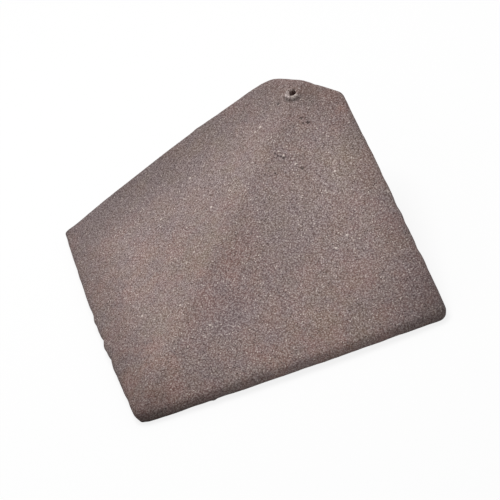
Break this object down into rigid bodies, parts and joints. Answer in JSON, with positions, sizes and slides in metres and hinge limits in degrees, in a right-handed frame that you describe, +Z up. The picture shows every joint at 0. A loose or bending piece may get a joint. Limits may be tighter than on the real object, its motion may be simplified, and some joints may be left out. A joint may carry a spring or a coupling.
{
  "type": "concrete hip tile",
  "caption": "Angular hip tile of sanded concrete: two wings folded along a rounded arris, with a collared nail hole at the narrow head.",
  "frame": {"origin": "centre of the bounding box at the floor, with the tile standing on its tail point and its two outer corners", "axes": "+Y runs in plan from the tail point to the head, along the arris; +Z is up; +X runs across the two wings"},
  "size_m": [0.394, 0.3365, 0.119],
  "materials": {
    "concrete": "matt, sand-textured, weathered red-brown"
  },
  "bodies": {
    "root": {"hip_tile": "concrete"}
  },
  "joints": []
}
